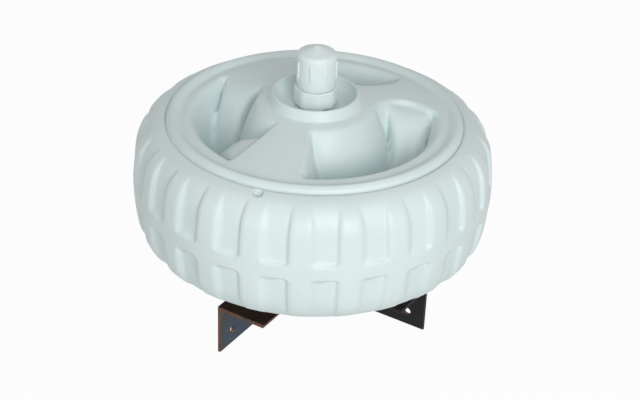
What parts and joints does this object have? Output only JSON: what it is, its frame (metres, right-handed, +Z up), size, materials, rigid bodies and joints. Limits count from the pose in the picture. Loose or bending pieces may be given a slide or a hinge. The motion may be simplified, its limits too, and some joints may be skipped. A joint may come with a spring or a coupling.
{
  "type": "dock wheel",
  "caption": "Dock corner wheel: a hollow plastic wheel with moulded tread turns on an upright post welded to an L-shaped steel angle bracket.",
  "frame": {"origin": "on the wheel's axis, at the underside of the bracket's horizontal flanges, which is the dock's top face", "axes": "+Z up along the post, the wheel's axis; the bracket's legs run along -X and -Y from the dock's corner"},
  "size_m": [0.457, 0.457, 0.3846],
  "materials": {
    "bracket_steel": "satin",
    "moulded_plastic": "satin"
  },
  "bodies": {
    "bracket": {"left_leg": "bracket_steel", "right_leg": "bracket_steel", "corner_weld": "bracket_steel", "post": "bracket_steel", "post_weld": "bracket_steel", "spacer": "moulded_plastic", "keeper": "moulded_plastic", "cap": "moulded_plastic"},
    "wheel": {"wheel": "moulded_plastic"}
  },
  "joints": [
    {"name": "wheel_spin", "type": "hinge", "parent": "bracket", "child": "wheel", "pos_m": [0, 0, 0.1333], "axis": [0, 0, 1], "continuous": true}
  ]
}
